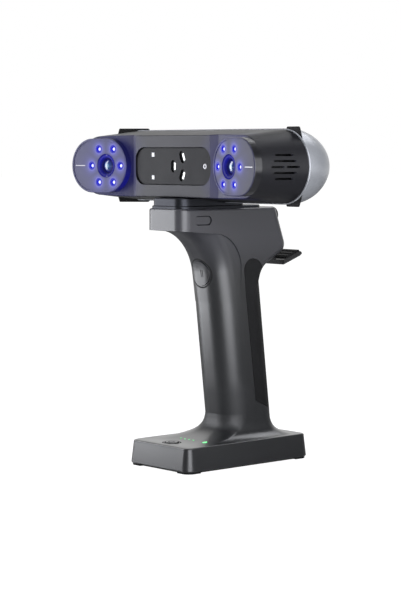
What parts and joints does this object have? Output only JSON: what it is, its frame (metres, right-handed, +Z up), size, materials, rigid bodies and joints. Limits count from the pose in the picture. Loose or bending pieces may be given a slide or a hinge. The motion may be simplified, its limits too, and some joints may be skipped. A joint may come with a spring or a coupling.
{
  "type": "handheld three-d scanner",
  "caption": "Handheld structured-light scanner: a wide two-camera head with lit lens pods on a pistol grip that stands on its own base.",
  "frame": {"origin": "centre of the sole's underside, where the base stands on the table", "axes": "+Z up, the cameras look along -Y, +X to the right as seen by someone facing the lenses"},
  "size_m": [0.2058, 0.1251, 0.24],
  "materials": {
    "front_plastic": "fine moulded grain, satin",
    "rear_plastic": "silver grey paint, satin",
    "pod_plastic": "smoked lilac grey, half gloss",
    "trim_black": "fine moulded grain",
    "handle_plastic": "fine moulded grain, satin",
    "soft_rubber": "matt, fine grain",
    "lens_glass": "coated optical glass",
    "window_glass": "clear window",
    "blue_light": "lit diode",
    "white_light": "white diode",
    "green_light": "lit light pipe",
    "machined_metal": "fine brushed",
    "steel": "zinc plated",
    "circuit_board": "solder mask",
    "cell_wrap": "shrink wrap",
    "inner_plastic": "moulded"
  },
  "bodies": {
    "handle": {"front_shell": "front_plastic", "rear_shell": "rear_plastic", "left_camera_pod": "pod_plastic", "right_camera_pod": "pod_plastic", "left_led_board": "circuit_board", "right_led_board": "circuit_board", "left_leds": "blue_light", "right_leds": "blue_light", "left_lens_barrel": "trim_black", "right_lens_barrel": "trim_black", "left_lens": "lens_glass", "right_lens": "lens_glass", "left_camera": "inner_plastic", "right_camera": "inner_plastic", "front_panel": "front_plastic", "beam_windows": "window_glass", "flash_leds": "white_light", "texture_camera": "window_glass", "projector": "inner_plastic", "chassis": "machined_metal", "main_board": "circuit_board", "heat_sink": "machined_metal", "key_board": "circuit_board", "head_port": "steel", "head_screws": "steel", "bumper_top_left": "soft_rubber", "bumper_top_right": "soft_rubber", "bumper_bottom_left": "soft_rubber", "bumper_bottom_right": "soft_rubber", "grip_pad": "soft_rubber", "base_plate": "trim_black", "base_sole": "soft_rubber", "base_screws": "steel", "control_board": "circuit_board", "power_switch": "inner_plastic", "battery_lights": "green_light", "status_light": "green_light", "base_port": "steel", "battery_cradle": "inner_plastic", "battery_cells": "cell_wrap", "trigger_board": "circuit_board", "trigger_switch": "inner_plastic", "seat_plate": "machined_metal", "shoe": "machined_metal", "shoe_screw": "steel", "hinge_pin": "steel", "handle_shell": "handle_plastic"},
    "scan_button": {"scan_button": "handle_plastic"},
    "power_button": {"power_button": "trim_black"},
    "release": {"release_button": "trim_black", "release_latch": "steel"},
    "rear_scan_key": {"rear_scan_key": "trim_black"},
    "rear_plus_key": {"rear_plus_key": "trim_black"},
    "rear_minus_key": {"rear_minus_key": "trim_black"},
    "phone_arm": {"phone_arm": "handle_plastic"},
    "phone_jaw": {"phone_jaw": "trim_black", "jaw_pad": "soft_rubber"}
  },
  "joints": [
    {"name": "scan_button_press", "type": "slide", "parent": "handle", "child": "scan_button", "axis": [0, 1, 0], "range_m": [0, 0.0012], "stiffness_N_per_m": 900},
    {"name": "power_button_press", "type": "slide", "parent": "handle", "child": "power_button", "axis": [0, 0, -1], "range_m": [0, 0.0008], "stiffness_N_per_m": 900},
    {"name": "release_press", "type": "slide", "parent": "handle", "child": "release", "axis": [-1, 0, 0], "range_m": [0, 0.0019], "stiffness_N_per_m": 1200},
    {"name": "rear_scan_key_press", "type": "slide", "parent": "handle", "child": "rear_scan_key", "axis": [0, -1, 0], "range_m": [0, 0.0008], "stiffness_N_per_m": 800},
    {"name": "rear_plus_key_press", "type": "slide", "parent": "handle", "child": "rear_plus_key", "axis": [0, -1, 0], "range_m": [0, 0.0008], "stiffness_N_per_m": 800},
    {"name": "rear_minus_key_press", "type": "slide", "parent": "handle", "child": "rear_minus_key", "axis": [0, -1, 0], "range_m": [0, 0.0008], "stiffness_N_per_m": 800},
    {"name": "phone_arm_fold", "type": "hinge", "parent": "handle", "child": "phone_arm", "pos_m": [0, 0.03892, 0.177], "axis": [1, 0, 0], "range_deg": [0, 75]},
    {"name": "phone_jaw_slide", "type": "slide", "parent": "phone_arm", "child": "phone_jaw", "axis": [0, 0.3373, -0.9414], "range_m": [0, 0.018]}
  ]
}
